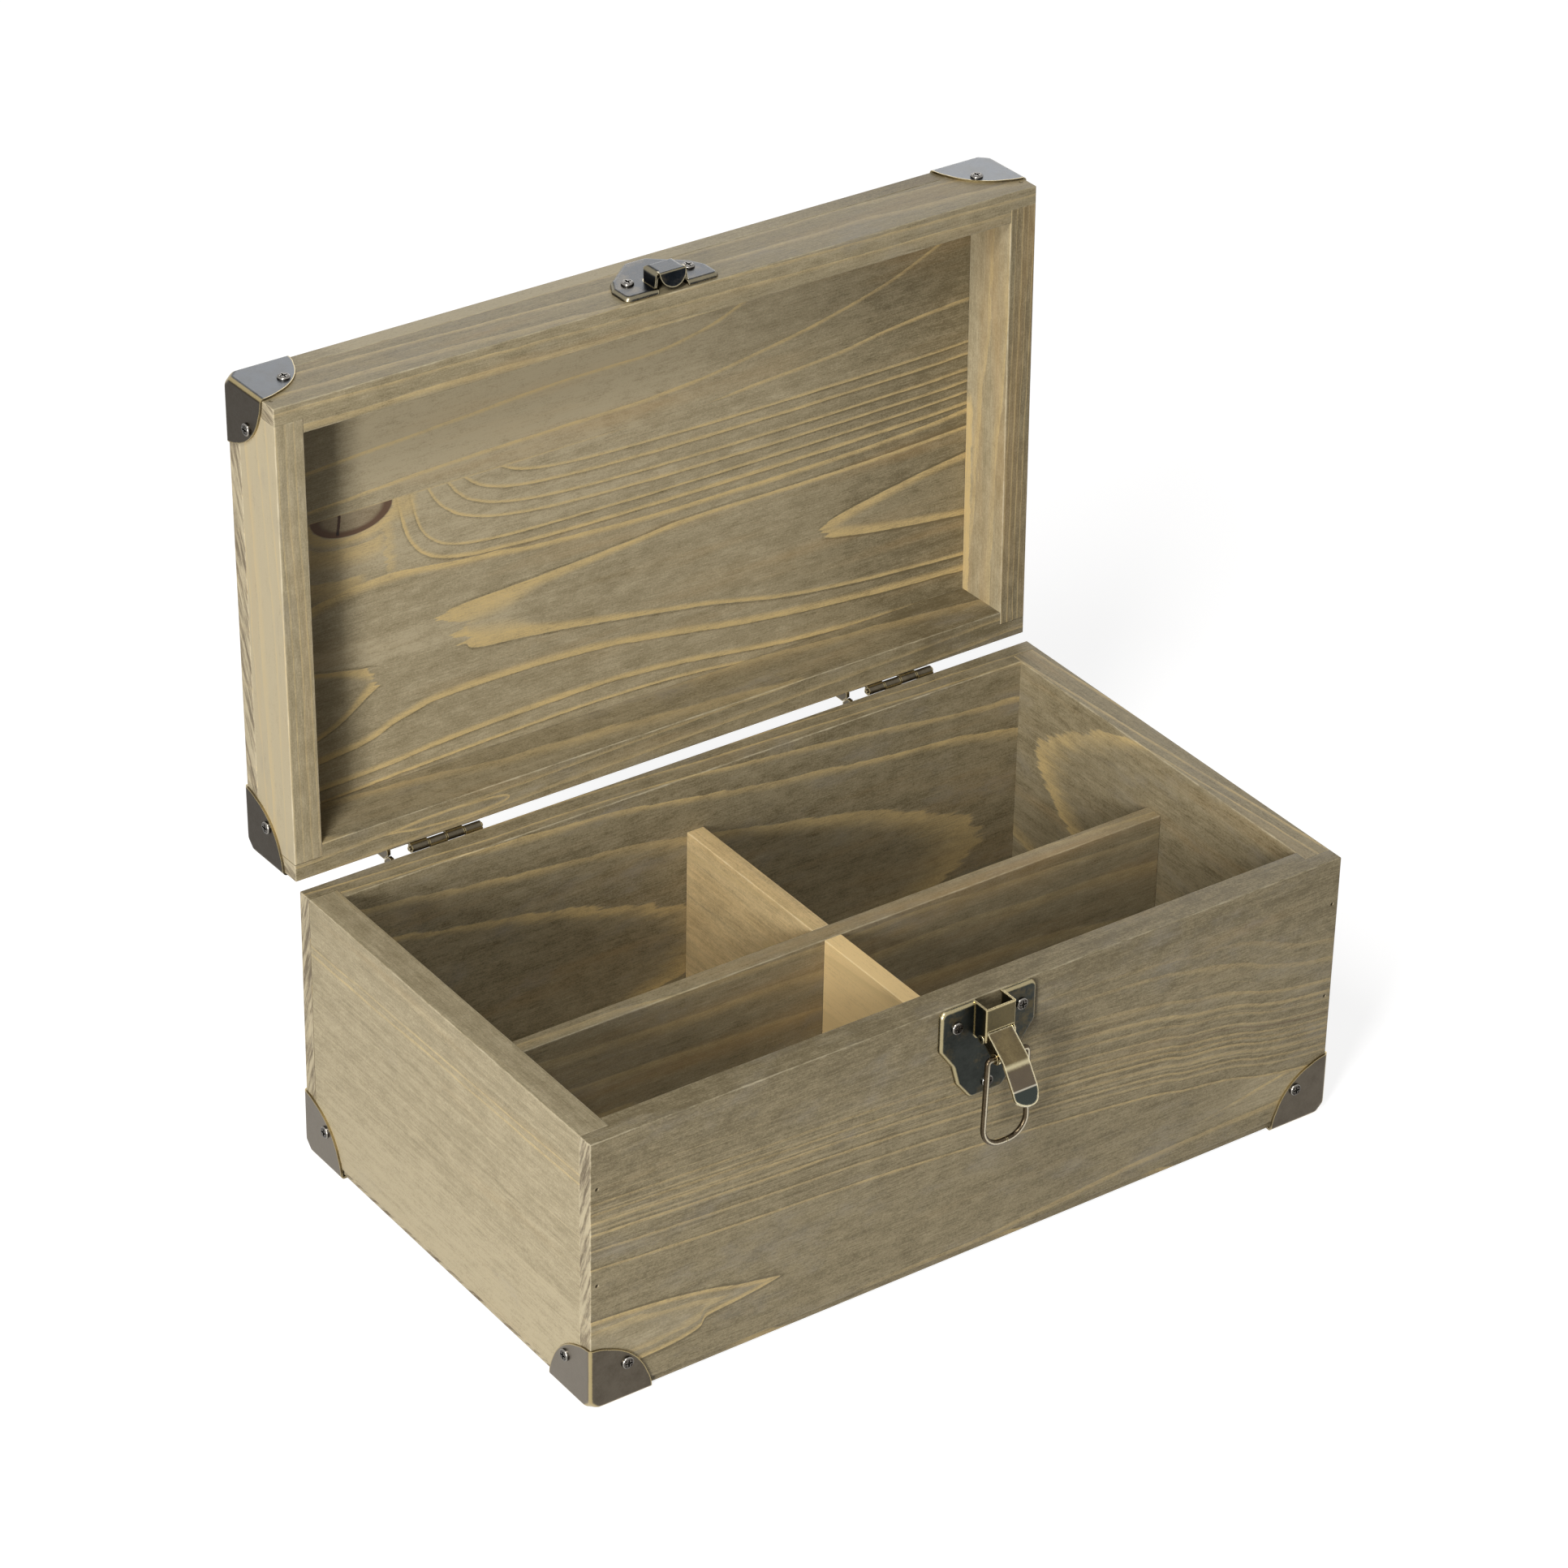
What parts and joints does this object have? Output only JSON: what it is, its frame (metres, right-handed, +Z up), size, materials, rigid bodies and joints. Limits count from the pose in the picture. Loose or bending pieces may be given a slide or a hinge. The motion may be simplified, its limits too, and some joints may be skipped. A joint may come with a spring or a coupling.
{
  "type": "wooden cassette tape case",
  "caption": "Weathered wooden storage chest with divided compartments for cassette tapes, a framed lid on stop hinges, metal corner brackets and a draw latch with a wire loop.",
  "frame": {"origin": "middle of the base, on the surface that the corner brackets stand on", "axes": "+X to the right along the case, -Y towards the front and the latch, +Z up"},
  "size_m": [0.3288, 0.2556, 0.3084],
  "materials": {
    "stained_wood": "grey-brown weathered stain on softwood, planed, matt",
    "antique_bronze": "pressed sheet with antique bronze plating, edges worn bright",
    "dark_bronze": "pressed sheet with dark antique plating, rolled edges worn",
    "worn_bronze": "antique bronze plating, rubbed",
    "screw_steel": "antique plated steel, cross recess",
    "brad_steel": "dull steel wire"
  },
  "bodies": {
    "box": {"front_board": "stained_wood", "rear_board": "stained_wood", "left_side_board": "stained_wood", "right_side_board": "stained_wood", "bottom_panel": "stained_wood", "long_divider": "stained_wood", "front_short_divider": "stained_wood", "rear_short_divider": "stained_wood", "bracket_front_left": "antique_bronze", "bracket_front_right": "antique_bronze", "bracket_rear_left": "antique_bronze", "bracket_rear_right": "antique_bronze", "box_bracket_screws": "screw_steel", "box_brads": "brad_steel", "bottom_panel_brads": "brad_steel", "latch_plate": "dark_bronze", "latch_plate_screws": "screw_steel", "latch_pivot_pin": "worn_bronze", "left_hinge_box_leaf": "antique_bronze", "right_hinge_box_leaf": "antique_bronze", "left_hinge_pin": "antique_bronze", "right_hinge_pin": "antique_bronze", "hinge_box_screws": "screw_steel"},
    "lid": {"lid_top_panel": "stained_wood", "lid_front_rail": "stained_wood", "lid_rear_rail": "stained_wood", "lid_left_stile": "stained_wood", "lid_right_stile": "stained_wood", "lid_bracket_front_left": "antique_bronze", "lid_bracket_front_right": "antique_bronze", "lid_bracket_rear_left": "antique_bronze", "lid_bracket_rear_right": "antique_bronze", "lid_bracket_screws": "screw_steel", "lid_frame_brads": "brad_steel", "lid_panel_brads": "brad_steel", "lid_catch": "dark_bronze", "lid_catch_screws": "screw_steel", "left_hinge_lid_leaf": "antique_bronze", "right_hinge_lid_leaf": "antique_bronze", "hinge_lid_screws": "screw_steel"},
    "lever": {"latch_lever": "worn_bronze"},
    "loop_rivet": {"latch_loop_rivet": "worn_bronze"},
    "wire_loop": {"latch_wire_loop": "worn_bronze"}
  },
  "joints": [
    {"name": "lid_hinge", "type": "hinge", "parent": "box", "child": "lid", "pos_m": [0, 0.096, 0.11145], "axis": [1, 0, 0], "range_deg": [0, 91.3]},
    {"name": "lever_pivot", "type": "hinge", "parent": "box", "child": "lever", "pos_m": [0.0022, -0.1005, 0.098], "axis": [-1, 0, 0], "range_deg": [-50, 42]},
    {"name": "loop_rivet_turn", "type": "hinge", "parent": "lever", "child": "loop_rivet", "pos_m": [0.0022, -0.10703, 0.09304], "axis": [-1, 0, 0], "range_deg": [-42, 50]},
    {"name": "loop_swing", "type": "hinge", "parent": "loop_rivet", "child": "wire_loop", "pos_m": [0.0022, -0.10703, 0.09304], "axis": [-1, 0, 0], "range_deg": [0, 180]}
  ],
  "couplings": [
    {"joint": "loop_rivet_turn", "follows": "lever_pivot", "ratio": -1}
  ]
}
